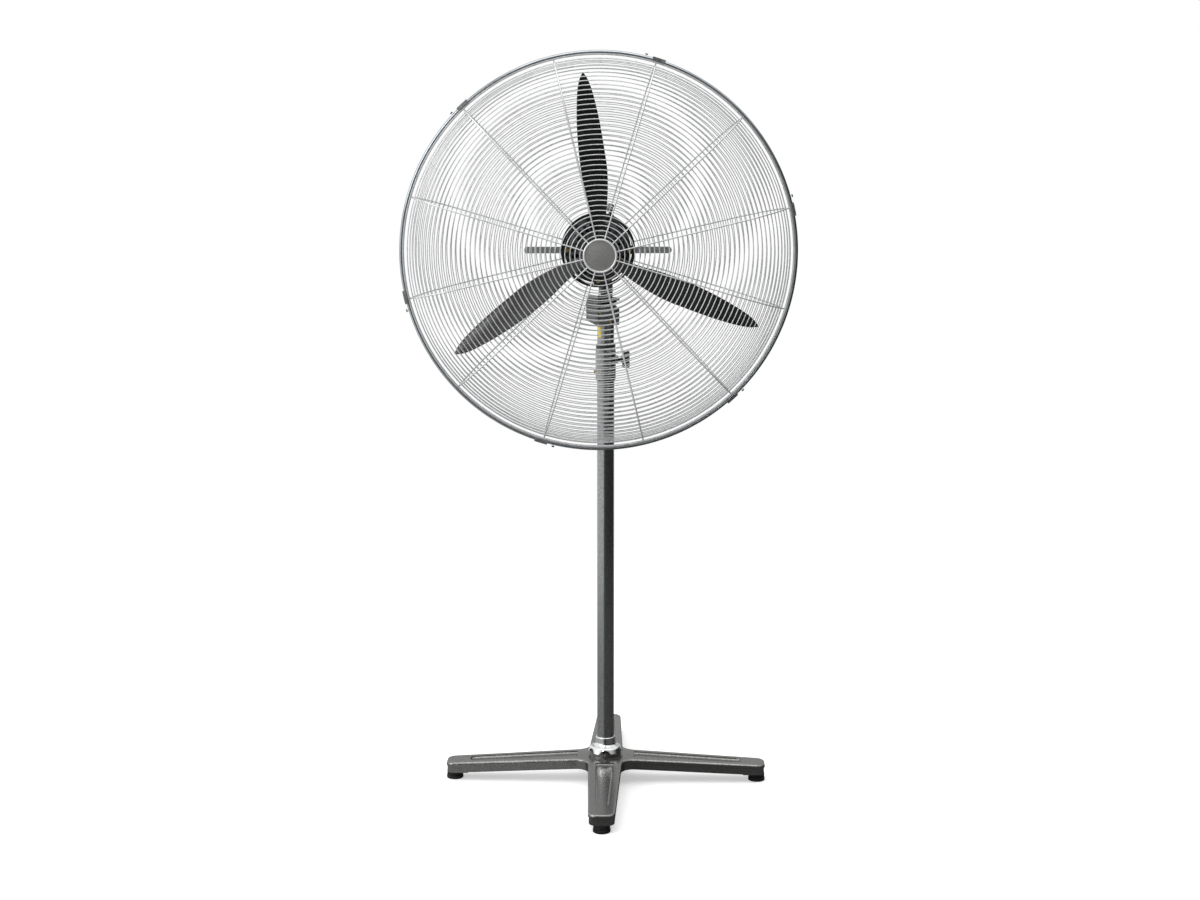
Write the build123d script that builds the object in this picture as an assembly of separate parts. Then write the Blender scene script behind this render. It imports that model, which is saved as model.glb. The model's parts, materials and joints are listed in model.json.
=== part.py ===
"""Industrial pedestal fan: four-armed cast base, telescopic pole, tilting and oscillating caged head.

Millimetres. The origin is on the floor under the pole axis, +Z is up, and the fan blows towards -Y.
The head is modelled about its own axis, which runs along Y, and then set on the pole part-way through
its sweep, turned a few degrees to +X.
"""

import os
from math import cos, radians, sin

from build123d import *

# Base and pole
ARM_COUNT = 4
ARM_REACH = 362.0
ARM_ROOT_WIDTH = 80.0
ARM_END_WIDTH = 57.0
ARM_END_TOP = 42.0
ARM_ROOT_TOP = 59.0
PAD_BOTTOM = 18.0
FOOT_CENTRE = 343.7
FOOT_RADIUS = 18.8
HUB_RADIUS = 36.0
HUB_TOP = 70.0
CAP_SCREW_RADIUS = 3.0
CAP_SCREW_Z = 64.8
POLE_RADIUS = 19.0
POLE_WALL = 1.8
POLE_BOTTOM = 38.0
POLE_TOP = 942.0

# Telescopic joint
COLLAR_RADIUS = 22.3
COLLAR_BOTTOM = 914.0
COLLAR_TOP = 983.0
BAND_TOP = 996.0
TUBE_RADIUS = 15.9
TUBE_WALL = 1.7
TUBE_BOTTOM = 560.0
KNOB_Z = 962.0

# Neck, switch box and tilt pivot
NECK_RADIUS = 18.6
NECK_X = (-17.0, 15.0)
NECK_Y = (-20.0, 20.0)
NECK_BOTTOM = BAND_TOP + 0.3
BLOCK_BOTTOM = 1037.0
BLOCK_TOP = 1080.0
BOX_X = (-42.0, -17.0)
BOX_Y = (-26.0, 24.0)
BOX_Z = (1037.0, 1101.0)
BOX_WALL = 2.0
TILT_Z = 1092.0
TILT_BOLT_RADIUS = 4.0
SPINDLE_RADIUS = 8.0
SWITCH_Z = 1086.0
GLAND_Z = 1064.0

# Head: the fan axis runs along Y, to one side of the swivel axis
HEAD_YAW = 2.8
FAN_X = -19.0
FAN_Z = 1207.5
RIM_Y = -199.0
RIM_RADIUS = 415.5
RIM_THICKNESS = 6.0
GUARD_END = RIM_RADIUS - 11.6
RIM_DEPTH = 14.0
WIRE_RADIUS = 1.05
SPOKE_RADIUS = 1.4
RIM_WIRE_RADIUS = 2.0
RING_PITCH = 10.25
SPOKE_COUNT = 12
SPOKE_PHASE = 13.3
CLIP_COUNT = 6
CLIP_PHASE = 16.5
BADGE_RADIUS = 31.0
BADGE_FRONT = RIM_Y - 86.0
BLADE_Y = -169.0
BLADE_COUNT = 3
BLADE_PHASE = 95.3
BLADE_PITCH_ROOT = 25.0
BLADE_PITCH_TIP = 15.0
BLADE_THICKNESS = 2.2
BLADE_BOLT_SPOTS = ((54.0, -4.0), (76.0, -4.0))
SHAFT_RADIUS = 6.0
MOTOR_RADIUS = 62.0
CASING_RADIUS = 71.5
MOTOR_FRONT = -94.0
MOTOR_BACK = -12.0
BEARING_RADIUS = 13.0
GUARD_RING_Y = -90.0
GUARD_RING_RADIUS = 79.7
LUG_COUNT = 4
LUG_RADIUS = 66.5

# Gearbox behind the motor, in the head's own frame
GEAR_X = (-36.0, 38.0)
GEAR_Y = (-12.0, 42.0)
GEAR_Z = (-70.0, 54.0)
KNOB_X = 29.6
KNOB_Y = 14.0
CRANK_X = -FAN_X - 22.0
CRANK_Y = 24.0
CRANK_THROW = 6.0
LINK_PIN = (5.5, 30.0)

RUNNING_FIT = 0.06
BODY_GAP = 0.35
WELD_GAP = 0.03

HEAD = Rot(0, 0, HEAD_YAW) * Pos(FAN_X, 0, FAN_Z)


def turned_z(*points):
    """Solid of revolution about Z from (radius, height) corners."""
    return revolve(Plane.XZ * make_face(Polyline(*points, close=True)), Axis.Z)


def turned_y(*points):
    """Solid of revolution about Y from (radius, y) corners."""
    return revolve(make_face(Polyline(*points, close=True)), Axis.Y)


def disc_y(radius, front, back, x=0.0, z=0.0):
    """Cylinder along Y between two y values."""
    return Pos(x, (front + back) / 2, z) * Rot(90, 0, 0) * Cylinder(radius, back - front)


def disc_x(radius, left, right, y=0.0, z=0.0):
    """Cylinder along X between two x values."""
    return Pos((left + right) / 2, y, z) * Rot(0, 90, 0) * Cylinder(radius, right - left)


def disc_z(radius, low, high, x=0.0, y=0.0):
    """Cylinder along Z between two heights."""
    return Pos(x, y, (low + high) / 2) * Cylinder(radius, high - low)


def block(xs, ys, zs):
    """Box from its limits along each axis."""
    size = [b - a for a, b in (xs, ys, zs)]
    middle = [(a + b) / 2 for a, b in (xs, ys, zs)]
    return Pos(*middle) * Box(*size)


def around_z(shape, count, start=0.0):
    """Copies of a shape spaced evenly about Z."""
    return [Rot(0, 0, start + 360.0 * i / count) * shape for i in range(count)]


def around_fan(shape, count, start=0.0):
    """Copies of a shape, modelled along +X, spaced evenly about the fan axis as seen from the front."""
    return [Rot(0, -(start + 360.0 * i / count), 0) * shape for i in range(count)]


# ---------------------------------------------------------------- base


def arm_band(top_drop, bottom_drop):
    """Cone-shaped layer that follows the slope of the arms, between two depths below their top face."""
    reach = ARM_REACH + 20.0
    slope = (ARM_ROOT_TOP - ARM_END_TOP) / (ARM_REACH - HUB_RADIUS)
    middle = ARM_ROOT_TOP + slope * HUB_RADIUS
    end = middle - slope * reach
    return turned_z(
        (0, middle - bottom_drop),
        (reach, end - bottom_drop),
        (reach, end - top_drop),
        (0, middle - top_drop),
    )


def arm_outline(root_width, end_width, start, end, corner):
    """Tapered plan of one arm along +X with rounded corners."""
    plan = make_face(
        Polyline(
            (start, -root_width / 2),
            (end, -end_width / 2),
            (end, end_width / 2),
            (start, root_width / 2),
            close=True,
        )
    )
    ends = plan.vertices().filter_by(lambda v: v.X > (start + end) / 2)
    return fillet(ends, corner)


def base_casting():
    inner_corner = 30.0
    edge_round = 5.0
    arm = arm_outline(ARM_ROOT_WIDTH, ARM_END_WIDTH, 0, ARM_REACH, 18.0)
    plan = Sketch() + [Rot(0, 0, 90 * i) * arm for i in range(ARM_COUNT)]
    inside = plan.vertices().filter_by(lambda v: abs(abs(v.X) - abs(v.Y)) < 1.0)
    plan = fillet(inside, inner_corner)
    body = extrude(plan, 100) & arm_band(0, 24.0)
    upper_edges = body.edges().filter_by(lambda e: e.center().Z > ARM_END_TOP - 4)
    top_edges = upper_edges.filter_by(lambda e: abs((e % 0.5).Z) < 0.5)
    body = fillet(top_edges, edge_round)
    lip_depth, lip_width = 8.0, 1.8
    beside = extrude(offset(plan, 3.0), 100) - extrude(offset(plan, -lip_width), 100)
    body -= beside & arm_band(lip_depth, 30.0)
    pad_length, pad_width, pad_height = 50.0, ARM_END_WIDTH - 6, 6.0
    pad_plan = arm_outline(pad_width, pad_width, ARM_REACH - pad_length, ARM_REACH - 4, 16)
    body += around_z(Pos(0, 0, PAD_BOTTOM) * extrude(pad_plan, pad_height), ARM_COUNT)
    body += disc_z(HUB_RADIUS, 34.0, HUB_TOP)
    panel = arm_outline(42.0, 29.0, 64.0, 308.0, 10.0)
    recess = extrude(panel, 100) & arm_band(-20.0, 5.0)
    recess = fillet(recess.faces().sort_by(Axis.Z)[0].edges(), 4.5)
    underside = arm_outline(46.0, 38.0, 62.0, ARM_REACH - pad_length - 8, 12)
    hollow = extrude(underside, 60) & arm_band(9.0, 60.0)
    body -= around_z(recess, ARM_COUNT)
    body -= around_z(hollow, ARM_COUNT)
    body -= disc_z(POLE_RADIUS + 0.05, POLE_BOTTOM, HUB_TOP + 1)
    body -= disc_z(7.2, 0, POLE_BOTTOM + 1)
    body -= around_z(disc_x(CAP_SCREW_RADIUS + 0.05, 0, HUB_RADIUS + 1, z=CAP_SCREW_Z), 2, start=-90)
    body -= around_z(disc_z(4.1, 0, PAD_BOTTOM + 14, x=FOOT_CENTRE), ARM_COUNT)
    return body


def rubber_feet():
    foot = turned_z(
        (4.6, 0),
        (FOOT_RADIUS - 1.2, 0),
        (FOOT_RADIUS, 1.2),
        (FOOT_RADIUS, 7.2),
        (FOOT_RADIUS - 2.6, 8.0),
        (FOOT_RADIUS - 2.6, 9.6),
        (FOOT_RADIUS - 0.8, 10.4),
        (FOOT_RADIUS - 0.8, PAD_BOTTOM),
        (4.6, PAD_BOTTOM),
    )
    foot -= disc_z(8.0, -1, 5.2)
    return around_z(Pos(FOOT_CENTRE, 0, 0) * foot, ARM_COUNT)


def foot_screws():
    top = PAD_BOTTOM + 12
    screw = turned_z((0, 1.5), (7.0, 1.5), (7.0, 5.2), (4.0, 5.2), (4.0, top), (0, top))
    return around_z(Pos(FOOT_CENTRE, 0, 0) * screw, ARM_COUNT)


def base_bolt():
    """Hex bolt and washer that pull the pole down into the hub from below."""
    washer = disc_z(16.0, 31.5, 34.0) - disc_z(6.6, 30, 36)
    head = Pos(0, 0, 27.5) * extrude(RegularPolygon(10.0, 6), 4.0)
    return [washer, head + disc_z(6.0, 31.5, 60.0)]


def pole_plug():
    """Threaded plug in the foot of the pole."""
    return disc_z(POLE_RADIUS - POLE_WALL - 0.05, POLE_BOTTOM, 64.0) - disc_z(6.1, POLE_BOTTOM - 1, 61.0)


def base_cap():
    """Chromed cap over the hub, with a flared skirt cut into lobes."""
    shell = turned_z(
        (POLE_RADIUS + 0.3, 80.0),
        (31.0, 77.6),
        (36.3, 70.6),
        (37.8, 66.4),
        (40.4, 66.4),
        (35.4, 77.2),
        (33.0, 79.2),
        (26.0, 81.4),
        (23.0, 84.0),
        (22.4, 87.0),
        (22.4, 98.4),
        (21.4, 101.0),
        (POLE_RADIUS + 0.3, 101.5),
    )
    arch_radius = 11.5
    arch = disc_x(arch_radius, 20, 60, z=64.0)
    return shell - around_z(arch, 6, start=30)


def cap_screws():
    """Two grub screws through the hub wall, one at the front and one at the back."""
    screw = disc_x(CAP_SCREW_RADIUS, POLE_RADIUS + 0.1, HUB_RADIUS + 3.5, z=CAP_SCREW_Z)
    return around_z(screw, 2, start=-90)


def lower_pole():
    return disc_z(POLE_RADIUS, POLE_BOTTOM, POLE_TOP) - disc_z(POLE_RADIUS - POLE_WALL, 0, POLE_TOP + 1)


def height_collar():
    """Sleeve on the pole top that guides the inner tube, with a boss for the clamp screw."""
    body = turned_z(
        (POLE_RADIUS + 0.05, COLLAR_BOTTOM),
        (POLE_RADIUS + 0.9, COLLAR_BOTTOM),
        (COLLAR_RADIUS, COLLAR_BOTTOM + 5),
        (COLLAR_RADIUS, COLLAR_TOP - 1),
        (COLLAR_RADIUS - 1, COLLAR_TOP),
        (TUBE_RADIUS + RUNNING_FIT, COLLAR_TOP),
        (TUBE_RADIUS + RUNNING_FIT, POLE_TOP),
        (POLE_RADIUS + 0.05, POLE_TOP),
    )
    body += disc_x(8.8, COLLAR_RADIUS - 3, 27.2, z=KNOB_Z)
    body -= disc_x(4.0 + RUNNING_FIT, 10, 40, z=KNOB_Z)
    body -= disc_x(2.6, -40, -POLE_RADIUS, z=934.0)
    return body


def collar_band():
    """Soft black ring that the neck comes down on."""
    outer = COLLAR_RADIUS - 0.8
    ring = disc_z(outer, COLLAR_TOP, BAND_TOP) - disc_z(TUBE_RADIUS + BODY_GAP, COLLAR_TOP - 1, BAND_TOP + 1)
    return fillet(ring.edges().filter_by(GeomType.CIRCLE).sort_by(SortBy.RADIUS)[-2:], 1.6)


def collar_screw():
    return disc_x(2.5, -24.4, -POLE_RADIUS - 0.1, z=934.0) + disc_x(4.0, -26.2, -23.2, z=934.0)


def height_knob():
    """Black hand knob with lobes, clamping the inner tube."""
    lobe_count = 7
    lobe = Pos(14.6, 0) * Circle(4.3)
    plan = Circle(15.6) + around_z(lobe, lobe_count)
    knob = Plane.YZ * extrude(plan, 16.0)
    knob = fillet(knob.edges().group_by(Axis.X)[0] + knob.edges().group_by(Axis.X)[-1], 1.5)
    knob = Pos(36.6, 0, KNOB_Z) * knob
    knob += disc_x(8.5, 33.0, 37.0, z=KNOB_Z)
    return knob - disc_x(4.0, 30.0, 46.0, z=KNOB_Z)


def height_screw():
    return disc_x(4.0, TUBE_RADIUS + BODY_GAP, 46.0, z=KNOB_Z)


# ---------------------------------------------------------------- mast


def inner_tube():
    outer = disc_z(TUBE_RADIUS, TUBE_BOTTOM, BLOCK_BOTTOM + 6)
    return outer - disc_z(TUBE_RADIUS - TUBE_WALL, TUBE_BOTTOM - 1, BLOCK_BOTTOM + 10)


def tilt_hole(radius):
    return disc_x(radius, -60, 60, z=TILT_Z)


def neck_casting():
    """Spigot over the tube, square block above it and two ears for the tilt pivot."""
    ear_width = 6.0
    body = block(NECK_X, NECK_Y, (BLOCK_BOTTOM, BLOCK_TOP))
    body = fillet(body.edges().filter_by(Axis.Z), 3.0)
    spigot = disc_z(NECK_RADIUS, NECK_BOTTOM, BLOCK_BOTTOM + 8)
    ear = block((0, ear_width), (-13.0, 13.0), (1066.0, TILT_Z)) + disc_x(13.0, 0, ear_width, z=TILT_Z)
    body += spigot
    body += Pos(NECK_X[0], 0, 0) * ear
    body += Pos(NECK_X[1] - ear_width, 0, 0) * ear
    body -= disc_z(TUBE_RADIUS + 0.05, NECK_BOTTOM - 1, BLOCK_BOTTOM + 6)
    body -= disc_z(11.0, BLOCK_BOTTOM, 1064.0)
    body -= tilt_hole(TILT_BOLT_RADIUS + 0.05)
    return body


def neck_screws():
    """Two brass screw heads on the front of the block."""
    front = disc_y(3.6, NECK_Y[0] - 2.2, NECK_Y[0] - 0.02, x=-12.0, z=1068.0)
    return [front, Pos(22.0, 0, -22.0) * front]


def tilt_bolt():
    shaft = disc_x(TILT_BOLT_RADIUS, NECK_X[0] + 0.4, 24.5, z=TILT_Z)
    return shaft


def box_outline(inset):
    """Side view of the switch box: upright with a slanted underside."""
    low, high = BOX_Z
    slant = 14.0
    front, back = BOX_Y
    return Polyline(
        (front + inset, low + slant + inset),
        (front + slant + inset / 2, low + inset),
        (back - slant / 2 - inset / 2, low + inset),
        (back - inset, low + slant / 2 + inset),
        (back - inset, high - inset),
        (front + inset, high - inset),
        close=True,
    )


def switch_box():
    """Sheet-metal box on the side of the neck, open at its outer side for the cover."""
    left, right = BOX_X
    outer = Pos(left, 0, 0) * extrude(Plane.YZ * make_face(box_outline(0)), right - left - 0.05)
    under = Plane.XZ * make_face(
        Polyline((left - 1, BOX_Z[0] - 1), (right + 1, BOX_Z[0] - 1), (left - 1, BOX_Z[0] + 14), close=True)
    )
    outer -= extrude(under, 60, both=True)
    cavity = block(
        (left + BOX_WALL, right - BOX_WALL),
        (BOX_Y[0] + BOX_WALL, BOX_Y[1] + 1),
        (BOX_Z[0] + 18, BOX_Z[1] - BOX_WALL),
    )
    return outer - cavity - spigot_clearance()


def spigot_clearance():
    """Room for the round top of the spigot where it stands out of the neck's block."""
    return disc_z(NECK_RADIUS + 0.05, BLOCK_BOTTOM - 1, BLOCK_BOTTOM + 8.05)


def box_x():
    return (BOX_X[0] + BOX_X[1]) / 2


def box_cover():
    """Rear plate of the switch box, with the holes for the switch and the gland."""
    inset = 0.3
    plate = block(
        (BOX_X[0] + BOX_WALL + inset, BOX_X[1] - BOX_WALL - inset),
        (BOX_Y[1] - 2.0, BOX_Y[1]),
        (BOX_Z[0] + 18 + inset, BOX_Z[1] - BOX_WALL - inset),
    )
    plate -= disc_y(5.0, 0, 60, x=box_x(), z=SWITCH_Z)
    plate -= disc_y(6.0, 0, 60, x=box_x(), z=GLAND_Z)
    return plate


def cover_screws():
    """Four small pan heads at the corners of the rear plate."""
    dx, dz = 7.0, 10.5
    middle = SWITCH_Z - 1
    screw = disc_y(1.8, BOX_Y[1] + 0.02, BOX_Y[1] + 1.4)
    return [Pos(box_x() + sx * dx, 0, middle + sz * dz) * screw for sx in (-1, 1) for sz in (-1, 1)]


def rotary_switch():
    body = block((box_x() - 8, box_x() + 8), (-4.0, BOX_Y[1] - 2.05), (SWITCH_Z - 9, SWITCH_Z + 9))
    return body + disc_y(4.9, BOX_Y[1] - 3, BOX_Y[1] + 2, x=box_x(), z=SWITCH_Z)


def capacitor():
    body = block((box_x() - 8, box_x() + 8), (BOX_Y[0] + BOX_WALL + 0.5, -6.0), (1074.0, 1096.0))
    return fillet(body.edges().filter_by(Axis.Y), 3.0)


def terminal_block():
    body = block((box_x() - 9, box_x() + 9), (-22.0, -8.0), (1057.0, 1068.0))
    holes = [disc_y(1.6, -30, 0, x=box_x() + dx, z=1062.5) for dx in (-6, 0, 6)]
    return body - holes


def cable_gland():
    """Threaded gland that the supply cord would enter through."""
    length = 14.0
    nut = Pos(box_x(), BOX_Y[1] + 6.0, GLAND_Z) * Rot(90, 0, 0) * extrude(RegularPolygon(8.0, 6), 6.0)
    sleeve = disc_y(5.9, BOX_Y[1] - 4.0, BOX_Y[1] + length - 4.0, x=box_x(), z=GLAND_Z)
    return nut + sleeve - disc_y(3.6, 0, 80, x=box_x(), z=GLAND_Z)


def cable_box():
    """Small junction housing on the other side of the neck, with a bevelled shoulder."""
    left, right = NECK_X[1] + 0.05, 30.0
    bevel = 9.0
    low, high = 1040.0, 1082.0
    face = Polyline(
        (left, low), (right, low), (right, high - bevel), (right - bevel, high), (left, high), close=True
    )
    body = Pos(0, 4.0, 0) * extrude(Plane.XZ * make_face(face), 24.0)
    body = fillet(body.edges().filter_by(Axis.Y), 1.5)
    return body - spigot_clearance()


def blank_label():
    """Plain curved label on the front of the spigot, with nothing printed on it."""
    sector = Rot(0, 0, -140) * Pos(NECK_RADIUS, 0, 1023.0) * Box(24, 13, 24)
    shell = disc_z(NECK_RADIUS + 0.35, 1008, 1036.5) - disc_z(NECK_RADIUS + 0.05, 1000, 1040)
    return shell & sector


def tilt_lever():
    """Lock lever on the end of the tilt bolt."""
    left = NECK_X[1] + BODY_GAP
    hub = disc_x(7.5, left, 23.0, z=TILT_Z) - tilt_hole(TILT_BOLT_RADIUS + RUNNING_FIT)
    blade = block((18.0, 30.0), (6.0, 48.0), (TILT_Z - 1.3, TILT_Z + 1.3))
    blade = fillet(blade.edges().filter_by(Axis.Z).sort_by(Axis.Y)[-2:], 5.0)
    return hub + blade


def speed_knob():
    """Fluted dial on the back of the switch box."""
    back = BOX_Y[1]
    knob = disc_y(11.0, back + 3.0, back + 17.0, x=box_x(), z=SWITCH_Z)
    knob = fillet(knob.edges().filter_by(GeomType.CIRCLE), 1.5)
    grip_z = (SWITCH_Z - 9.5, SWITCH_Z + 9.5)
    grip = block((box_x() - 2.6, box_x() + 2.6), (back + 16.0, back + 22.0), grip_z)
    return knob + fillet(grip.edges().filter_by(Axis.Y), 1.2)


# ---------------------------------------------------------------- tilting bracket


def tilt_bracket():
    """Tongue between the ears, with a round post for the swivel above it."""
    left, right = NECK_X[0] + 6.0 + BODY_GAP, NECK_X[1] - 6.0 - BODY_GAP
    tongue = block((left, right), (-11.0, 11.0), (TILT_Z, 1124.0)) + disc_x(11.0, left, right, z=TILT_Z)
    table = disc_z(15.5, 1108.0, 1134.0)
    x, y = LINK_PIN
    arm = block((x - 3.5, x + 3.5), (10.0, y), (1122.0, 1127.0)) + disc_z(5.0, 1122.0, 1127.0, x=x, y=y)
    body = tongue + table + arm
    body -= tilt_hole(TILT_BOLT_RADIUS + RUNNING_FIT)
    body -= disc_z(SPINDLE_RADIUS - 0.95, 1106.0, 1140.0)
    return body


def swivel_spindle():
    """Upright pin that the head turns on, with its thrust washer."""
    pin = disc_z(SPINDLE_RADIUS - 1.0, 1106.0, 1137.0)
    pin += disc_z(SPINDLE_RADIUS, 1136.8, 1172.0)
    washer = disc_z(14.0, 1134.05, 1136.5) - disc_z(SPINDLE_RADIUS, 1133, 1138)
    return [pin, washer]


def link_pin():
    """Shouldered pin that the oscillation link swings on."""
    x, y = LINK_PIN
    return disc_z(2.5, 1127.05, 1133.0, x=x, y=y)


# ---------------------------------------------------------------- head: gearbox and motor


def spindle_hole(radius, low, high):
    """Bore for the spindle, in the head's own frame."""
    return disc_z(radius, low, high, x=-FAN_X)


def gearbox_housing():
    low = GEAR_Z[0]
    body = block(GEAR_X, (MOTOR_BACK + 0.05, GEAR_Y[1]), (low, GEAR_Z[1]))
    body = fillet(body.edges().filter_by(Axis.Y), 10.0)
    body = fillet(body.faces().sort_by(Axis.Y)[-1].edges(), 5.0)
    wall = 5.0
    inside_x = (GEAR_X[0] + wall, GEAR_X[1] - wall)
    body -= block(inside_x, (MOTOR_BACK + wall - 1, GEAR_Y[1] - wall), (low + 36, GEAR_Z[1] + 1))
    body -= spindle_hole(SPINDLE_RADIUS + RUNNING_FIT, low - 1, low + 50)
    body -= disc_z(3.0 + RUNNING_FIT, low - 1, low + 60, x=CRANK_X, y=CRANK_Y)
    body -= disc_y(SHAFT_RADIUS + 0.6, MOTOR_BACK - 1, 30)
    return body


def gearbox_cover():
    """Lid with a boss for the push-pull knob."""
    top = GEAR_Z[1]
    inset = 5.2
    neck_x = (GEAR_X[0] + inset, GEAR_X[1] - inset)
    lid = block(neck_x, (MOTOR_BACK + inset - 1, GEAR_Y[1] - inset), (50.0, top + 0.05))
    lid += block((GEAR_X[0] + 8, GEAR_X[1] - 3), (MOTOR_BACK + 2, GEAR_Y[1] - 4), (top + 0.05, top + 4))
    lid += disc_z(7.5, top + 2, top + 16, x=KNOB_X, y=KNOB_Y)
    return lid - disc_z(3.0 + RUNNING_FIT, 40, 90, x=KNOB_X, y=KNOB_Y)


def osc_knob():
    """Push-pull knob that starts and stops the oscillation."""
    stem = disc_z(3.0, 52.0, 80.0, x=KNOB_X, y=KNOB_Y)
    knob = disc_z(8.0, 77.0, 93.0, x=KNOB_X, y=KNOB_Y)
    knob = fillet(knob.edges().filter_by(GeomType.CIRCLE), 2.0)
    return stem + knob


def crank():
    """Gear shaft, crank disc and crank pin under the gearbox."""
    low = GEAR_Z[0]
    shaft = disc_z(3.0, low - 3.0, low + 48.0, x=CRANK_X, y=CRANK_Y)
    wheel = disc_z(11.0, low + 38.0, low + 46.0, x=CRANK_X, y=CRANK_Y)
    disc = disc_z(9.0, low - 3.6, low - BODY_GAP, x=CRANK_X, y=CRANK_Y)
    pin = disc_z(1.8, low - 4.2, low - 1.0, x=CRANK_X + CRANK_THROW, y=CRANK_Y)
    return shaft + wheel + disc + pin


def motor_casing():
    """Rolled shell round the stator, with cooling ribs."""
    front, back = MOTOR_FRONT + 22, MOTOR_BACK - 14
    rib_count, rib_width, rib_height = 7, 3.0, 2.5
    shell = disc_y(CASING_RADIUS - rib_height, front, back) - disc_y(MOTOR_RADIUS - 3, front - 1, back + 1)
    rib = disc_y(CASING_RADIUS, front, front + rib_width)
    rib -= disc_y(MOTOR_RADIUS, front - 1, front + rib_width + 1)
    pitch = (back - front - rib_width) / (rib_count - 1)
    return shell + [Pos(0, pitch * i, 0) * rib for i in range(rib_count)]


def bell(front, back, dome_in):
    """Cup-shaped end cover; dome_in is how far the outer edge is set back from the face."""
    wall = 3.5
    step = dome_in if front < back else -dome_in
    inner = wall if front < back else -wall
    return turned_y(
        (SHAFT_RADIUS + 0.5, front),
        (MOTOR_RADIUS - 7, front),
        (MOTOR_RADIUS - 2, front + step / 2),
        (MOTOR_RADIUS, front + step),
        (MOTOR_RADIUS, back),
        (MOTOR_RADIUS - wall, back),
        (MOTOR_RADIUS - wall, front + step + inner / 2),
        (MOTOR_RADIUS - 8.5, front + inner),
        (17.0, front + inner),
        (17.0, front + 3.4 * inner),
        (SHAFT_RADIUS + 0.5, front + 3.4 * inner),
    )


def front_bell():
    """Front end cover with two rows of vents and four lugs for the guard."""
    vent_count = 24
    vent_depth = (MOTOR_FRONT - 1, MOTOR_FRONT + 8)
    inner_vent = block((43.0, 50.0), vent_depth, (-3.4, 3.4))
    outer_vent = block((53.5, 58.0), vent_depth, (-4.0, 4.0))
    lug = block((MOTOR_RADIUS - 3, 74.0), (GUARD_RING_Y + 3.05, GUARD_RING_Y + 14), (-9, 9))
    body = bell(MOTOR_FRONT, MOTOR_FRONT + 21.95, 9.0)
    body -= around_fan(inner_vent, vent_count)
    body -= around_fan(outer_vent, vent_count)
    body += around_fan(lug, LUG_COUNT)
    body -= around_fan(disc_y(2.6, -120, GUARD_RING_Y + 15, x=LUG_RADIUS), LUG_COUNT)
    return body - disc_y(BEARING_RADIUS + 0.05, MOTOR_FRONT + 3, MOTOR_FRONT + 13)


def rear_bell():
    """Rear end cover between the casing and the gearbox."""
    return turned_y(
        (13.05, MOTOR_BACK),
        (MOTOR_RADIUS - 16, MOTOR_BACK),
        (MOTOR_RADIUS - 4, MOTOR_BACK - 5),
        (MOTOR_RADIUS, MOTOR_BACK - 10),
        (MOTOR_RADIUS, MOTOR_BACK - 13.95),
        (MOTOR_RADIUS - 4, MOTOR_BACK - 13.95),
        (MOTOR_RADIUS - 18, MOTOR_BACK - 4),
        (17.0, MOTOR_BACK - 4),
        (17.0, MOTOR_BACK - 12),
        (13.05, MOTOR_BACK - 12),
    )


def stator():
    """Laminated ring with a winding bundle at each end."""
    outer = MOTOR_RADIUS - 3.2
    ring = turned_y((36.6, -68), (outer, -68), (outer, -36), (36.6, -36))
    windings = [turned_y((39, y), (51, y), (51, y + 7), (39, y + 7)) for y in (-75.1, -35.9)]
    return [ring] + windings


def bearings():
    """Plain bushes that the shaft runs in, one in each bell."""
    bore, outer, length = SHAFT_RADIUS + RUNNING_FIT, BEARING_RADIUS, 8.0
    starts = (MOTOR_FRONT + 3.1, MOTOR_BACK - 11.0)
    return [turned_y((bore, y), (outer, y), (outer, y + length), (bore, y + length)) for y in starts]


# ---------------------------------------------------------------- head: guards


def guard_ring():
    """Black pressed ring that carries the rear guard, with four tabs screwed to the motor lugs."""
    front, depth = GUARD_RING_Y - 3.0, 6.0
    outer, inner = GUARD_RING_RADIUS, GUARD_RING_RADIUS - 7.0
    ring = turned_y((inner, front), (outer, front), (outer, front + depth), (inner, front + depth))
    tab = block((MOTOR_RADIUS + 0.3, inner + 2), (front + depth / 2, front + depth), (-7.5, 7.5))
    ring += around_fan(tab, LUG_COUNT)
    return ring - around_fan(disc_y(2.6, -120, -60, x=LUG_RADIUS), LUG_COUNT)


def side_straps():
    """Flat bars with round ends that brace the rear guard on each side."""
    width = 14.0
    near, far = GUARD_RING_RADIUS + 0.2, 158.0
    y = GUARD_RING_Y
    bar = block((near, far - width / 2), (y - 1.5, y + 1.5), (-width / 2, width / 2))
    bar += disc_y(width / 2, y - 1.5, y + 1.5, x=far - width / 2)
    return around_fan(bar, 2)


def guard_screws():
    """Brass screws through the ring's tabs."""
    y = GUARD_RING_Y
    screw = disc_y(2.5, y - 2, y + 13, x=LUG_RADIUS) + disc_y(5.0, y - 3.4, y - 0.05, x=LUG_RADIUS)
    slot = block((LUG_RADIUS - 6, LUG_RADIUS + 6), (y - 5, y - 2.4), (-0.6, 0.6))
    return around_fan(screw - slot, LUG_COUNT)


def guard_path(start, bend, end):
    """Section of a guard as (radius, y): straight from the hub to the bend, then one arc to the rim."""
    run = Line(start, bend)
    turn = TangentArc(bend, end, tangent=run % 1)
    return Wire([run.edge(), turn.edge()])


def front_path():
    return guard_path((30.0, RIM_Y - 81.0), (285.0, RIM_Y - 74.0), (GUARD_END, RIM_Y - 5.0))


def rear_path():
    start = (GUARD_RING_RADIUS + 0.3, GUARD_RING_Y)
    return guard_path(start, (290.0, RIM_Y + 96.0), (GUARD_END, RIM_Y + 5.0))


def spokes(path):
    section = Plane(origin=path @ 0, z_dir=path % 0) * Circle(SPOKE_RADIUS)
    spoke = sweep(section, path=path)
    return around_fan(spoke, SPOKE_COUNT, SPOKE_PHASE)


def wire_ring(radius, y, wire_radius):
    """Hoop of wire about the fan axis; its eight-sided section keeps dozens of hoops light to mesh."""
    return revolve(Pos(radius, y) * RegularPolygon(wire_radius, 8), Axis.Y)


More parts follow.
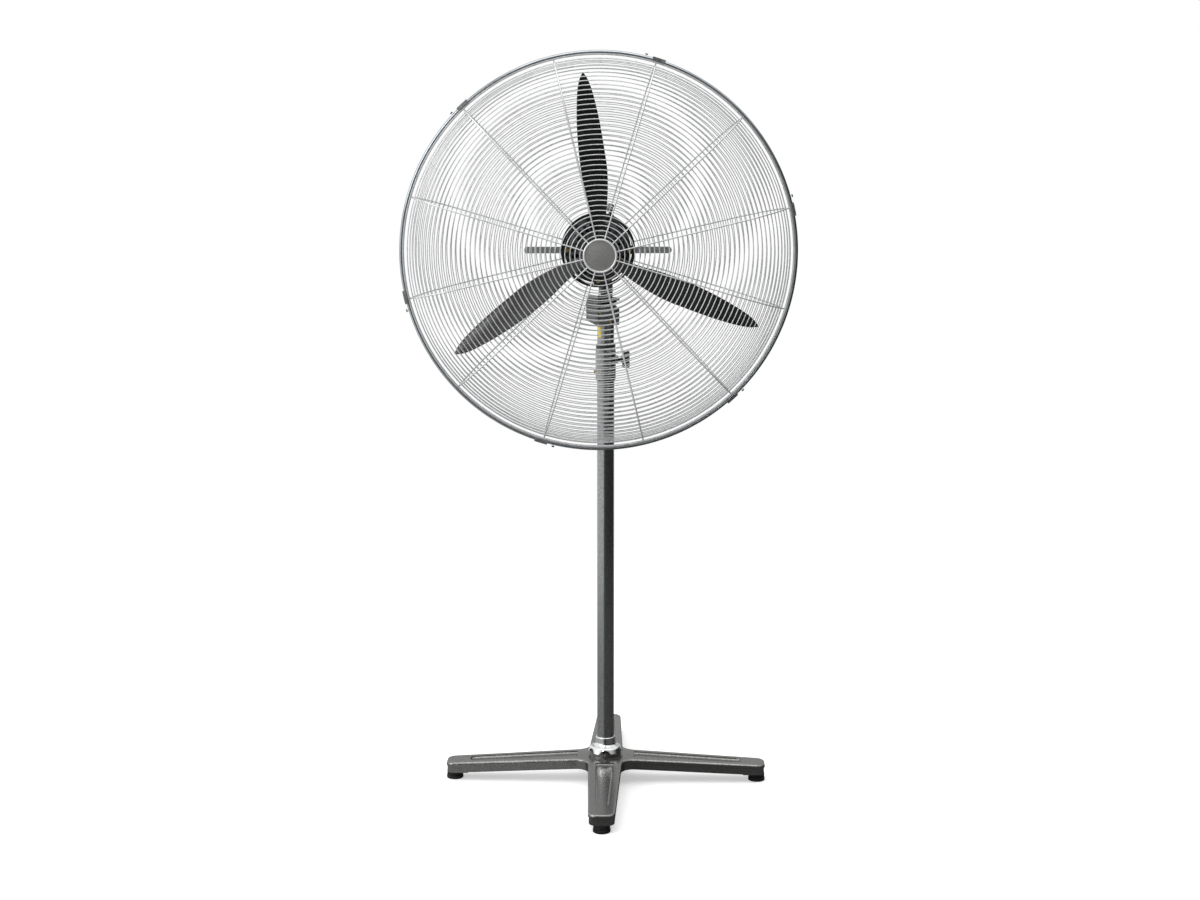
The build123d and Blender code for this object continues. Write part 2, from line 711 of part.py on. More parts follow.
def guard_rings(path, inward, first, last):
    """Wire rings on the inside of the spokes, evenly spaced along the section from first to last length."""
    offset = SPOKE_RADIUS + WIRE_RADIUS + WELD_GAP
    rings = []
    steps = int((last - first) / RING_PITCH + 0.5)
    for i in range(steps + 1):
        at = (first + (last - first) * i / steps) / path.length
        point, along = path @ at, path % at
        normal = Vector(-along.Y, along.X) * inward
        centre = point + normal * offset
        rings.append(wire_ring(centre.X, centre.Y, WIRE_RADIUS))
    return rings


def rim_wire(y):
    """Thicker end hoop of a guard, just inside the rim band."""
    return wire_ring(RIM_RADIUS - RIM_THICKNESS - RIM_WIRE_RADIUS - 0.05, y, RIM_WIRE_RADIUS)


def face_length(path):
    """Length of the section up to where the guard starts to turn back to the rim."""
    return 0.72 * path.length


def front_face_rings():
    path = front_path()
    return guard_rings(path, 1, 11.0, face_length(path))


def front_side_rings():
    path = front_path()
    last = path.length - 7.0
    return guard_rings(path, 1, face_length(path) + RING_PITCH, last) + [rim_wire(RIM_Y - 4.5)]


def rear_face_rings():
    path = rear_path()
    return guard_rings(path, -1, 12.0, face_length(path))


def rear_side_rings():
    path = rear_path()
    last = path.length - 7.0
    return guard_rings(path, -1, face_length(path) + RING_PITCH, last) + [rim_wire(RIM_Y + 4.5)]


def rim_band():
    """Painted hoop that the two guards meet in."""
    half = RIM_DEPTH / 2
    inner = RIM_RADIUS - RIM_THICKNESS
    face = Pos((inner + RIM_RADIUS) / 2, RIM_Y) * Rectangle(RIM_THICKNESS, 2 * half)
    face = fillet(face.vertices(), 2.5)
    return revolve(face, Axis.Y)


def clip_profile():
    half = RIM_DEPTH / 2 + 0.1
    inner, outer = RIM_RADIUS - 5.0, RIM_RADIUS + 0.1
    metal = 1.6
    return make_face(
        Polyline(
            (inner, RIM_Y - half - metal),
            (outer + metal, RIM_Y - half - metal),
            (outer + metal, RIM_Y + half + metal),
            (inner, RIM_Y + half + metal),
            (inner, RIM_Y + half),
            (outer, RIM_Y + half),
            (outer, RIM_Y - half),
            (inner, RIM_Y - half),
            close=True,
        )
    )


def rim_clips():
    """Sprung clips that hook over the hoop and both guards."""
    spread = 3.8
    clip = Rot(0, spread / 2, 0) * revolve(clip_profile(), Axis.Y, revolution_arc=spread)
    return around_fan(clip, CLIP_COUNT, CLIP_PHASE)


def clip_screws():
    screw = disc_x(3.0, RIM_RADIUS + 1.75, RIM_RADIUS + 4.2, y=RIM_Y)
    return around_fan(screw, CLIP_COUNT, CLIP_PHASE)


def badge_plate():
    """Plain brushed disc in the middle of the front guard, with nothing written on it."""
    front, back = BADGE_FRONT, BADGE_FRONT + 3.4
    edge = (BADGE_RADIUS, front + 1.6)
    return turned_y((0, front), (BADGE_RADIUS - 2, front + 0.8), edge, (BADGE_RADIUS, back), (0, back))


def badge_ring():
    inner, outer = BADGE_RADIUS + 0.1, BADGE_RADIUS + 4.1
    front, back = BADGE_FRONT - 0.8, BADGE_FRONT + 3.4
    ring = turned_y((inner, front), (outer, front), (outer, back), (inner, back))
    return fillet(ring.faces().sort_by(Axis.Y)[0].edges(), 1.6)


# ---------------------------------------------------------------- fan


def blade_slab(thickness):
    """Twisted sheet along +X; its upper edge, as seen from the front, stands forward."""
    sections = []
    for radius, pitch in ((20.0, BLADE_PITCH_ROOT), (100.0, BLADE_PITCH_ROOT), (385.0, BLADE_PITCH_TIP)):
        chord = (0, -sin(radians(pitch)), cos(radians(pitch)))
        plane = Plane(origin=(radius, BLADE_Y, 0), x_dir=chord, z_dir=(1, 0, 0))
        sections.append(plane * Rectangle(130, thickness))
    return loft(sections, ruled=True)


def blade_outline():
    """Front view of one blade along +X: narrow root, full belly, round tip."""
    tip = (373, -1.5)
    upper = [(42, 6), (87, 10), (130, 17), (170, 21), (215, 22.5)]
    upper += [(270, 21), (320, 16), (345, 11.5), (362, 5.5)]
    lower = [(362, -8.5), (345, -14.5), (320, -20), (270, -27)]
    lower += [(210, -32), (170, -34), (130, -31.5), (87, -25), (42, -15)]
    edge = Spline(*upper, tip, *lower)
    root = Line(lower[-1], upper[0])
    return Plane.XZ * make_face([edge.edge(), root.edge()])


def fan_blades():
    prism = extrude(blade_outline(), 60, both=True)
    prism = Pos(0, BLADE_Y, 0) * prism
    blade = prism & blade_slab(BLADE_THICKNESS)
    blade -= blade_bolt_holes()
    return around_fan(blade, BLADE_COUNT, BLADE_PHASE)


def pitched(shape):
    """Turn a shape, modelled about the X axis, to the pitch of the blade's root."""
    return Pos(0, BLADE_Y, 0) * Rot(BLADE_PITCH_ROOT, 0, 0) * shape


def blade_bolt_holes():
    return [pitched(disc_y(2.6, -20, 20, x=x, z=z)) for x, z in BLADE_BOLT_SPOTS]


def fan_hub():
    """Cast hub with one pitched arm behind each blade."""
    bore = SHAFT_RADIUS + 0.02
    hub = turned_y((bore, -180), (20, -180), (22, -178), (22, -146), (bore, -146))
    hub += turned_y((15, -176), (33, -174), (33, -152), (15, -150))
    gap = BLADE_THICKNESS / 2 + 0.05
    arm = pitched(block((24, 88), (gap, gap + 4.0), (-13, 7))) - blade_bolt_holes()
    hub += around_fan(arm, BLADE_COUNT, BLADE_PHASE)
    blade_space = blade_slab(BLADE_THICKNESS + 0.1) & block((40, 100), (-220, -120), (-40, 40))
    hub -= around_fan(blade_space, BLADE_COUNT, BLADE_PHASE)
    return hub - disc_y(bore, -190, -140)


def blade_bolts():
    """Round-headed bolts through blade and arm."""
    face = BLADE_THICKNESS / 2
    bolt = disc_y(2.5, -face - 1, face + 6.5)
    bolt += disc_y(4.6, -face - 2.6, -face - 0.05)
    bolt += disc_y(4.2, face + 4.1, face + 6.6)
    spots = [pitched(Pos(x, 0, z) * bolt) for x, z in BLADE_BOLT_SPOTS]
    return [copy for spot in spots for copy in around_fan(spot, BLADE_COUNT, BLADE_PHASE)]


def fan_shaft():
    """Motor shaft with the rotor on it and the worm cut on its rear end."""
    shaft = disc_y(SHAFT_RADIUS, -188, 30)
    rotor = turned_y((0, -68), (36.0, -68), (36.0, -36), (0, -36))
    worm = disc_y(SHAFT_RADIUS + 0.4, 8, 28)
    return shaft + rotor + worm


def shaft_nut():
    nut = Pos(0, -180.05, 0) * Rot(90, 0, 0) * extrude(RegularPolygon(10.0, 6), 6.0)
    return nut - disc_y(SHAFT_RADIUS + 0.02, -200, -170)


# ---------------------------------------------------------------- link


def link_rod():
    """Flat link between the bracket's pin and the crank."""
    low, high = 1127.4, 1129.6
    start = Vector(*LINK_PIN)
    end = HEAD * Pos(CRANK_X + CRANK_THROW, CRANK_Y, 0)
    reach = Vector(end.position.X, end.position.Y) - start
    angle = Vector(1, 0).get_signed_angle(reach)
    bar = block((0, reach.length), (-3.0, 3.0), (low, high))
    bar += disc_z(5.0, low, high) + disc_z(4.4, low, high, x=reach.length)
    bar -= disc_z(2.5 + RUNNING_FIT, low - 1, high + 1)
    return Pos(start.X, start.Y, 0) * Rot(0, 0, angle) * bar


STANDING_NODES = {
    "base_casting": base_casting,
    "rubber_feet": rubber_feet,
    "foot_screws": foot_screws,
    "base_bolt": base_bolt,
    "pole_plug": pole_plug,
    "base_cap": base_cap,
    "cap_screws": cap_screws,
    "lower_pole": lower_pole,
    "height_collar": height_collar,
    "collar_band": collar_band,
    "collar_screw": collar_screw,
    "height_knob": height_knob,
    "height_screw": height_screw,
    "inner_tube": inner_tube,
    "neck_casting": neck_casting,
    "neck_screws": neck_screws,
    "tilt_bolt": tilt_bolt,
    "switch_box": switch_box,
    "box_cover": box_cover,
    "cover_screws": cover_screws,
    "rotary_switch": rotary_switch,
    "capacitor": capacitor,
    "terminal_block": terminal_block,
    "cable_gland": cable_gland,
    "cable_box": cable_box,
    "blank_label": blank_label,
    "tilt_lever": tilt_lever,
    "speed_knob": speed_knob,
    "tilt_bracket": tilt_bracket,
    "swivel_spindle": swivel_spindle,
    "link_pin": link_pin,
    "link_rod": link_rod,
}

HEAD_NODES = {
    "gearbox_housing": gearbox_housing,
    "gearbox_cover": gearbox_cover,
    "osc_knob": osc_knob,
    "crank": crank,
    "motor_casing": motor_casing,
    "front_bell": front_bell,
    "rear_bell": rear_bell,
    "stator": stator,
    "bearings": bearings,
    "guard_ring": guard_ring,
    "side_straps": side_straps,
    "guard_screws": guard_screws,
    "rear_spokes": lambda: spokes(rear_path()),
    "rear_face_rings": rear_face_rings,
    "rear_side_rings": rear_side_rings,
    "front_spokes": lambda: spokes(front_path()),
    "front_face_rings": front_face_rings,
    "front_side_rings": front_side_rings,
    "rim_band": rim_band,
    "rim_clips": rim_clips,
    "clip_screws": clip_screws,
    "badge_plate": badge_plate,
    "badge_ring": badge_ring,
    "fan_blades": fan_blades,
    "fan_hub": fan_hub,
    "blade_bolts": blade_bolts,
    "fan_shaft": fan_shaft,
    "shaft_nut": shaft_nut,
}


def write_node(name, shapes, place):
    """Write one node; a list of shapes becomes separate solids in one file."""
    if not isinstance(shapes, list):
        shapes = [shapes]
    solids = [place * solid for shape in shapes for solid in shape.solids()]
    export_step(Compound(children=solids) if len(solids) > 1 else solids[0], f"parts/{name}.step")


os.makedirs("parts", exist_ok=True)
for node, make in STANDING_NODES.items():
    write_node(node, make(), Location())
for node, make in HEAD_NODES.items():
    write_node(node, make(), HEAD)
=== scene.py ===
"""Looks of the industrial pedestal fan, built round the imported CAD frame.

Metres, +Z up, front towards -Y. The guards, rim, blades, base cap and badge are modelled here in place of
their plainer CAD nodes; every other node keeps its CAD shape and gets a procedural material.
"""

import json
import math

import bpy
from mathutils import Matrix, Vector


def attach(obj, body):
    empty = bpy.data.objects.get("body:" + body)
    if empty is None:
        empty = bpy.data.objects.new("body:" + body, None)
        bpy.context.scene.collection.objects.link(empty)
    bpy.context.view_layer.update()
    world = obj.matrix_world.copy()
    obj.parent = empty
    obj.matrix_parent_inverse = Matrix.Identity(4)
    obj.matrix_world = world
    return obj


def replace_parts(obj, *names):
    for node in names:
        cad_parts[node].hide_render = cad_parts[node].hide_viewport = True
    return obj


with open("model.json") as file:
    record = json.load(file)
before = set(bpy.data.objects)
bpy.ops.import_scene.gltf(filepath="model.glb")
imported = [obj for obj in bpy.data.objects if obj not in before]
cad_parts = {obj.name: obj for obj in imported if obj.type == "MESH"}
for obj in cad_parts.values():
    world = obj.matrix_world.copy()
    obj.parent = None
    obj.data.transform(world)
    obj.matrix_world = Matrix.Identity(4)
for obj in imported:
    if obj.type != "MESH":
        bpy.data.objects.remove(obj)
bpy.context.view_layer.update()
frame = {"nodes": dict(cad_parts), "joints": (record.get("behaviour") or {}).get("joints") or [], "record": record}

CAMERA_POSITION = (0.0995, -4.2952, 1.4708)
CAMERA_PITCH_DEGREES = 9.404
CAMERA_YAW_DEGREES = 1.494
LENS_MM = 58.85
SENSOR_MM = 36.0
CLIP_END = 100.0

FLOOR_HALF = 3.0
FLOOR_FADE = (1.1, 2.6)
FLOOR_GLOW = 0.40
FLOOR_SPECULAR = 0.1
# How bright the floor looks in reflections: dim in front and on the right, brighter on the left.
FLOOR_REFLECTED = (0.10, 0.42)
FLOOR_LEFT = (-0.25, -0.50)

# Brightness of the room in reflections, and the part of each direction over which a wall rises to it.
ROOM_DARK = 0.02
WALL_LIGHT, WALL_RISE = 1.05, (-0.24, -0.50)
CEILING_LIGHT, CEILING_RISE = 1.0, (0.28, 0.72)
BACK_LIGHT, BACK_RISE = 0.55, (0.55, 0.85)
# Diffuse light from the room, from left to right.
ROOM_FILL, FILL_RISE = (0.85, 0.45), (-0.8, 0.8)


# ---------------------------------------------------------------- camera, floor and light


def make_camera():
    """Camera at the photographed viewing angle."""
    data = bpy.data.cameras.new("camera")
    data.lens = LENS_MM
    data.sensor_width = SENSOR_MM
    data.clip_end = CLIP_END
    camera = bpy.data.objects.new("camera", data)
    bpy.context.scene.collection.objects.link(camera)
    camera.location = CAMERA_POSITION
    tilt, yaw = 90.0 - CAMERA_PITCH_DEGREES, CAMERA_YAW_DEGREES
    camera.rotation_euler = (math.radians(tilt), 0.0, math.radians(yaw))
    bpy.context.scene.camera = camera


def make_floor():
    """White floor that takes soft shadows, fades into the white backdrop and throws little light back."""
    half = FLOOR_HALF
    mesh = bpy.data.meshes.new("floor")
    corners = [(-half, -half, 0), (half, -half, 0), (half, half, 0), (-half, half, 0)]
    mesh.from_pydata(corners, [], [(0, 1, 2, 3)])
    floor = bpy.data.objects.new("floor", mesh)
    bpy.context.scene.collection.objects.link(floor)
    surface = Surface("floor_white", color=(0.9, 0.9, 0.9), roughness=0.8)
    tint = surface.noise(scale=3.0, detail=3.0)
    surface.color(surface.ramp(tint, [(0.3, (0.94, 0.94, 0.94)), (0.7, (0.97, 0.97, 0.97))]))
    surface.bsdf.inputs["Emission Color"].default_value = (1.0, 1.0, 1.0, 1.0)
    surface.bsdf.inputs["Emission Strength"].default_value = FLOOR_GLOW
    surface.bsdf.inputs["Specular IOR Level"].default_value = FLOOR_SPECULAR
    tree = surface.tree
    dim = tree.nodes.new("ShaderNodeBsdfDiffuse")
    clear = tree.nodes.new("ShaderNodeBsdfTransparent")
    path = tree.nodes.new("ShaderNodeLightPath")
    seen = tree.nodes.new("ShaderNodeMixShader")
    faded = tree.nodes.new("ShaderNodeMixShader")
    length = tree.nodes.new("ShaderNodeVectorMath")
    length.operation = "LENGTH"
    surface.link(surface.place, length.inputs[0])
    split = tree.nodes.new("ShaderNodeSeparateXYZ")
    surface.link(surface.place, split.inputs[0])
    bearing = surface.combined("DIVIDE", split.outputs["X"], length.outputs["Value"])
    shade = surface.mapped(bearing, *FLOOR_LEFT, *FLOOR_REFLECTED)
    surface.link(shade, dim.inputs["Color"])
    surface.link(path.outputs["Is Camera Ray"], seen.inputs["Fac"])
    surface.link(dim.outputs[0], seen.inputs[1])
    surface.link(surface.bsdf.outputs[0], seen.inputs[2])
    fade = surface.mapped(length.outputs["Value"], *FLOOR_FADE, 0.0, 1.0)
    surface.link(fade, faded.inputs["Fac"])
    surface.link(seen.outputs[0], faded.inputs[1])
    surface.link(clear.outputs[0], faded.inputs[2])
    surface.link(faded.outputs[0], tree.nodes["Material Output"].inputs["Surface"])
    mesh.materials.append(surface.material)


def area_light(name, position, target, width, height, energy):
    """Rectangular softbox at a position, turned to face a target."""
    data = bpy.data.lights.new(name, "AREA")
    data.shape = "RECTANGLE"
    data.size = width
    data.size_y = height
    data.energy = energy
    light = bpy.data.objects.new(name, data)
    bpy.context.scene.collection.objects.link(light)
    light.location = position
    aim = Vector(target) - Vector(position)
    light.rotation_euler = aim.to_track_quat("-Z", "Y").to_euler()


def set_range(node, low, high, to_low, to_high):
    """Set the four limits of a Map Range node."""
    for key, value in zip(("From Min", "From Max", "To Min", "To Max"), (low, high, to_low, to_high)):
        node.inputs[key].default_value = value


def world_ramp(tree, source, low, high, dim, bright):
    """Brightness that eases from dim to bright as a direction's part goes from low to high."""
    node = tree.nodes.new("ShaderNodeMapRange")
    node.interpolation_type = "SMOOTHSTEP"
    set_range(node, low, high, dim, bright)
    tree.links.new(source, node.inputs["Value"])
    return node.outputs["Result"]


def make_world():
    """White to the camera; reflections see a dark room with a bright left wall, ceiling and back."""
    world = bpy.data.worlds.new("studio")
    bpy.context.scene.world = world
    world.use_nodes = True
    tree = world.node_tree
    tree.nodes.clear()
    output = tree.nodes.new("ShaderNodeOutputWorld")
    path = tree.nodes.new("ShaderNodeLightPath")
    direction = tree.nodes.new("ShaderNodeTexCoord")
    split = tree.nodes.new("ShaderNodeSeparateXYZ")
    tree.links.new(direction.outputs["Generated"], split.inputs[0])
    wall = world_ramp(tree, split.outputs["X"], *WALL_RISE, ROOM_DARK, WALL_LIGHT)
    ceiling = world_ramp(tree, split.outputs["Z"], *CEILING_RISE, ROOM_DARK, CEILING_LIGHT)
    back = world_ramp(tree, split.outputs["Y"], *BACK_RISE, ROOM_DARK, BACK_LIGHT)
    brightest = wall
    for other in (ceiling, back):
        larger = tree.nodes.new("ShaderNodeMath")
        larger.operation = "MAXIMUM"
        tree.links.new(brightest, larger.inputs[0])
        tree.links.new(other, larger.inputs[1])
        brightest = larger.outputs[0]
    even = world_ramp(tree, split.outputs["X"], *FILL_RISE, *ROOM_FILL)
    shown = tree.nodes.new("ShaderNodeBackground")
    shown.inputs["Color"].default_value = (1.0, 1.0, 1.0, 1.0)
    reflected = tree.nodes.new("ShaderNodeBackground")
    tree.links.new(brightest, reflected.inputs["Color"])
    shading = tree.nodes.new("ShaderNodeBackground")
    tree.links.new(even, shading.inputs["Color"])
    unseen = tree.nodes.new("ShaderNodeMixShader")
    tree.links.new(path.outputs["Is Diffuse Ray"], unseen.inputs["Fac"])
    tree.links.new(reflected.outputs[0], unseen.inputs[1])
    tree.links.new(shading.outputs[0], unseen.inputs[2])
    mix = tree.nodes.new("ShaderNodeMixShader")
    tree.links.new(path.outputs["Is Camera Ray"], mix.inputs["Fac"])
    tree.links.new(unseen.outputs[0], mix.inputs[1])
    tree.links.new(shown.outputs[0], mix.inputs[2])
    tree.links.new(mix.outputs[0], output.inputs["Surface"])


# ---------------------------------------------------------------- material helpers


class Surface:
    """A Principled material with short calls for procedural detail in object space."""

    def __init__(self, name, color, roughness, metallic=0.0):
        self.material = bpy.data.materials.new(name)
        self.material.use_nodes = True
        self.tree = self.material.node_tree
        self.bsdf = self.tree.nodes["Principled BSDF"]
        self.bsdf.inputs["Base Color"].default_value = (*color, 1.0)
        self.bsdf.inputs["Roughness"].default_value = roughness
        self.bsdf.inputs["Metallic"].default_value = metallic
        self.place = self.tree.nodes.new("ShaderNodeTexCoord").outputs["Object"]

    def link(self, source, target):
        self.tree.links.new(source, target)

    def stretched(self, scale):
        node = self.tree.nodes.new("ShaderNodeMapping")
        node.inputs["Scale"].default_value = scale
        self.link(self.place, node.inputs["Vector"])
        return node.outputs["Vector"]

    def noise(self, scale, detail=2.0, roughness=0.5, vector=None):
        node = self.tree.nodes.new("ShaderNodeTexNoise")
        node.inputs["Scale"].default_value = scale
        node.inputs["Detail"].default_value = detail
        node.inputs["Roughness"].default_value = roughness
        self.link(vector or self.place, node.inputs["Vector"])
        return node.outputs["Fac"]

    def cells(self, scale, feature="SMOOTH_F1"):
        node = self.tree.nodes.new("ShaderNodeTexVoronoi")
        node.feature = feature
        node.inputs["Scale"].default_value = scale
        self.link(self.place, node.inputs["Vector"])
        return node.outputs["Distance"]

    def ramp(self, source, stops):
        node = self.tree.nodes.new("ShaderNodeValToRGB")
        points = node.color_ramp.elements
        while len(points) < len(stops):
            points.new(0.5)
        for point, (position, value) in zip(points, stops):
            point.position = position
            point.color = (*value, 1.0)
        self.link(source, node.inputs["Fac"])
        return node.outputs["Color"]

    def mapped(self, source, low, high, to_low, to_high):
        node = self.tree.nodes.new("ShaderNodeMapRange")
        set_range(node, low, high, to_low, to_high)
        self.link(source, node.inputs["Value"])
        return node.outputs["Result"]

    def combined(self, operation, first, second):
        node = self.tree.nodes.new("ShaderNodeMath")
        node.operation = operation
        for socket, value in zip(node.inputs, (first, second)):
            if isinstance(value, (int, float)):
                socket.default_value = value
            else:
                self.link(value, socket)
        return node.outputs[0]

    def mixed(self, factor, first, second):
        node = self.tree.nodes.new("ShaderNodeMix")
        node.data_type = "RGBA"
        self.link(factor, node.inputs["Factor"])
        for socket, value in ((node.inputs["A"], first), (node.inputs["B"], second)):
            if isinstance(value, tuple):
                socket.default_value = (*value, 1.0)
            else:
                self.link(value, socket)
        return node.outputs["Result"]

    def color(self, source):
        self.link(source, self.bsdf.inputs["Base Color"])

    def rough(self, source, low, high):
        """Roughness between two values over the middle half of a noise."""
        self.link(self.mapped(source, 0.25, 0.75, low, high), self.bsdf.inputs["Roughness"])

    def bump(self, height, strength, distance):
        """Bump on top of any bump the material already has."""
        node = self.tree.nodes.new("ShaderNodeBump")
        node.inputs["Strength"].default_value = strength
        node.inputs["Distance"].default_value = distance
        self.link(height, node.inputs["Height"])
        previous = self.bsdf.inputs["Normal"].links
        if previous:
            self.link(previous[0].from_socket, node.inputs["Normal"])
        self.link(node.outputs["Normal"], self.bsdf.inputs["Normal"])


def edge_wear(surface, amount):
    """0 on flats, rising on convex edges where paint rubs thin, broken up by noise."""
    geometry = surface.tree.nodes.new("ShaderNodeNewGeometry")
    rub = surface.mapped(geometry.outputs["Pointiness"], 0.53, 0.60, 0.0, 1.0)
    patchy = surface.mapped(surface.noise(90.0, 4.0), 0.45, 0.65, 0.0, amount)
    return surface.combined("MULTIPLY", rub, patchy)


def hammertone(name, color, cell):
    """Hammer-finish enamel: a glossy coat whose small cells catch the light a little unevenly."""
    surface = Surface(name, color, 0.2, metallic=0.9)
    cells = surface.cells(1.0 / cell)
    fine = surface.noise(2.2 / cell, 2.0)
    broad = surface.noise(14.0, 3.0)
    height = surface.combined("ADD", cells, surface.combined("MULTIPLY", fine, 0.35))
    darker, lighter = (tuple(k * c for c in color) for k in (0.72, 1.15))
    tone = surface.ramp(height, [(0.30, lighter), (0.70, darker)])
    surface.color(surface.mixed(surface.mapped(broad, 0.3, 0.7, 0.0, 0.4), tone, darker))
    surface.rough(fine, 0.14, 0.26)
    surface.bump(height, 0.10, -cell * 0.05)
    return surface.material


def plated(name, color, roughness, wave):
    """Bright plating with a slight wander in gloss and faint waviness."""
    surface = Surface(name, color, roughness, metallic=1.0)
    haze = surface.noise(60.0, 4.0)
    surface.color(surface.ramp(haze, [(0.3, tuple(0.93 * c for c in color)), (0.7, color)]))
    surface.rough(haze, roughness * 0.7, roughness * 1.6)
    surface.bump(surface.noise(220.0, 2.0), 0.12, wave)
    return surface.material


def turned_metal(name, color, roughness):
    """Machined or zinc-plated steel with fine tooling marks and dull patches."""
    surface = Surface(name, color, roughness, metallic=1.0)
    lines = surface.noise(900.0, 2.0, vector=surface.stretched((1.0, 1.0, 0.08)))
    patches = surface.noise(160.0, 4.0)
    surface.color(surface.ramp(patches, [(0.3, tuple(0.8 * c for c in color)), (0.7, color)]))
    surface.rough(patches, roughness * 0.75, roughness * 1.35)
    surface.bump(lines, 0.25, 0.0002)
    return surface.material


def satin_paint(name, color, roughness, metallic=0.0, specular=0.5, worn=(0.35, 0.35, 0.35)):
    """Stoved enamel with fine orange peel, dusty variation and rubbed edges."""
    surface = Surface(name, color, roughness, metallic)
    surface.bsdf.inputs["Specular IOR Level"].default_value = specular
    peel = surface.noise(700.0, 2.0)
    dust = surface.noise(22.0, 5.0)
    clean, dusty = (tuple(k * c for c in color) for k in (0.85, 1.15))
    base = surface.ramp(dust, [(0.3, clean), (0.72, dusty)])
    surface.color(surface.mixed(edge_wear(surface, 0.5), base, worn))
    surface.rough(dust, roughness * 0.85, roughness * 1.2)
    surface.bump(peel, 0.18, 0.00025)
    return surface.material


def moulded_plastic(name, color, roughness):
    """Moulded plastic with a fine spark-eroded grain."""
    surface = Surface(name, color, roughness)
    grain = surface.cells(1500.0, feature="F1")
    dust = surface.noise(40.0, 4.0)
    clean, dusty = tuple(0.85 * c for c in color), tuple(1.25 * c + 0.004 for c in color)
    surface.color(surface.ramp(dust, [(0.3, clean), (0.75, dusty)]))
    surface.rough(dust, roughness * 0.85, min(roughness * 1.2, 0.95))
    surface.bump(grain, 0.25, 0.0002)
    return surface.material


def rubber_compound(name):
    """Black rubber with a chalky bloom."""
    surface = Surface(name, (0.010, 0.010, 0.011), 0.6)
    chalk = surface.noise(120.0, 5.0)
    surface.color(surface.ramp(chalk, [(0.35, (0.006, 0.006, 0.0065)), (0.75, (0.02, 0.02, 0.02))]))
    surface.rough(chalk, 0.6, 0.85)
    surface.bump(surface.noise(1100.0, 3.0), 0.3, 0.0003)
    return surface.material


def wire_plating(name):
    """Bright-plated guard wire: duller than the cap, with fine drawing marks along it."""
    surface = Surface(name, (0.68, 0.69, 0.695), 0.3, metallic=0.45)
    haze = surface.noise(45.0, 4.0)
    surface.color(surface.ramp(haze, [(0.3, (0.62, 0.63, 0.635)), (0.7, (0.73, 0.74, 0.745))]))
    surface.rough(haze, 0.22, 0.38)
    surface.bump(surface.noise(800.0, 2.0), 0.15, 0.0001)
    return surface.material


def copper_with_painted_shade(name):
    """Varnished copper windings, kept near black as painted shade inside the motor, with painted shade darker
    still between the strands.
    """
    # Painted shade: the copper's colour is kept near black for the shade inside the motor.
    surface = Surface(name, (0.03, 0.014, 0.008), 0.5, metallic=0.5)
    strands = surface.noise(500.0, 3.0, vector=surface.stretched((1.0, 0.15, 1.0)))
    # Painted shade: the ramp darkens the copper between the strands.
    surface.color(surface.ramp(strands, [(0.35, (0.010, 0.006, 0.004)), (0.65, (0.05, 0.022, 0.012))]))
    surface.rough(strands, 0.3, 0.6)
    surface.bump(strands, 0.5, 0.0006)
    return surface.material


def brushed_badge(name, low, high, roughness):
    """Aluminium brushed straight across."""
    surface = Surface(name, high, roughness, metallic=0.35)
    brushed = surface.noise(1400.0, 3.0, vector=surface.stretched((0.03, 1.0, 1.0)))
    cloud = surface.noise(30.0, 3.0)
    surface.color(surface.ramp(cloud, [(0.3, low), (0.7, high)]))
    surface.rough(brushed, roughness * 0.75, roughness * 1.25)
    surface.bump(brushed, 0.08, 0.0001)
    return surface.material


NEAR_BLACK = (0.004, 0.0045, 0.005)
DARK_WEAR = (0.02, 0.02, 0.02)
MATERIALS = {
    "hammertone": lambda: hammertone("hammertone_pole", (0.36, 0.37, 0.372), 0.0026),
    "cast_hammertone": lambda: hammertone("hammertone_cast", (0.29, 0.288, 0.28), 0.0030),
    "chrome": lambda: plated("chrome", (0.80, 0.81, 0.82), 0.09, 0.0003),
    "steel": lambda: turned_metal("steel", (0.62, 0.63, 0.64), 0.28),
    "zinc": lambda: turned_metal("zinc", (0.56, 0.57, 0.58), 0.36),
    "brass": lambda: turned_metal("brass", (0.78, 0.58, 0.25), 0.26),
    "rubber": lambda: rubber_compound("rubber"),
    "black_plastic": lambda: moulded_plastic("black_plastic", (0.022, 0.022, 0.024), 0.42),
    "black_paint": lambda: satin_paint("black_paint", NEAR_BLACK, 0.22, specular=1.0, worn=DARK_WEAR),
    "dark_paint": lambda: satin_paint("dark_paint", (0.040, 0.045, 0.05), 0.34, metallic=0.3),
    "rim_paint": lambda: satin_paint("rim_paint", (0.36, 0.39, 0.41), 0.2, metallic=0.92),
    "badge": lambda: brushed_badge("badge_aluminium", (0.28, 0.28, 0.274), (0.33, 0.33, 0.323), 0.30),
    "strap": lambda: satin_paint("strap_paint", (0.22, 0.23, 0.235), 0.36),
    "copper": lambda: copper_with_painted_shade("copper_windings_painted_shade"),
    "label": lambda: moulded_plastic("label_film", (0.86, 0.68, 0.13), 0.45),
    "wire": lambda: wire_plating("guard_wire"),
    "bezel": lambda: brushed_badge("bezel_aluminium", (0.80, 0.80, 0.79), (0.88, 0.88, 0.87), 0.25),
    "enamel": lambda: satin_paint("grey_enamel", (0.21, 0.215, 0.215), 0.32),
    "nylon": lambda: moulded_plastic("nylon", (0.62, 0.61, 0.56), 0.5),
}


def finish_cad_nodes():
    """Give every CAD node the material of its slot."""
    made = {slot: make() for slot, make in MATERIALS.items()}
    for part in frame["record"]["subparts"]:
        node = frame["nodes"][part["node"]]
        node.data.materials.clear()
        node.data.materials.append(made[part["material_slot"]])
    return made


# ---------------------------------------------------------------- mesh helpers


def head_matrix():
    """Frame of the head at rest: origin at the fan axis's height, local -Y along the blow."""
    spin = next(joint for joint in frame["joints"] if joint["name"] == "fan_spin")
    axis = Vector(spin["axis"]).normalized()
    turn = math.atan2(axis.x, -axis.y)
    back = Matrix.Translation((0.0, -BLADE_Y, 0.0))
    return Matrix.Translation(spin["pos_m"]) @ Matrix.Rotation(turn, 4, "Z") @ back


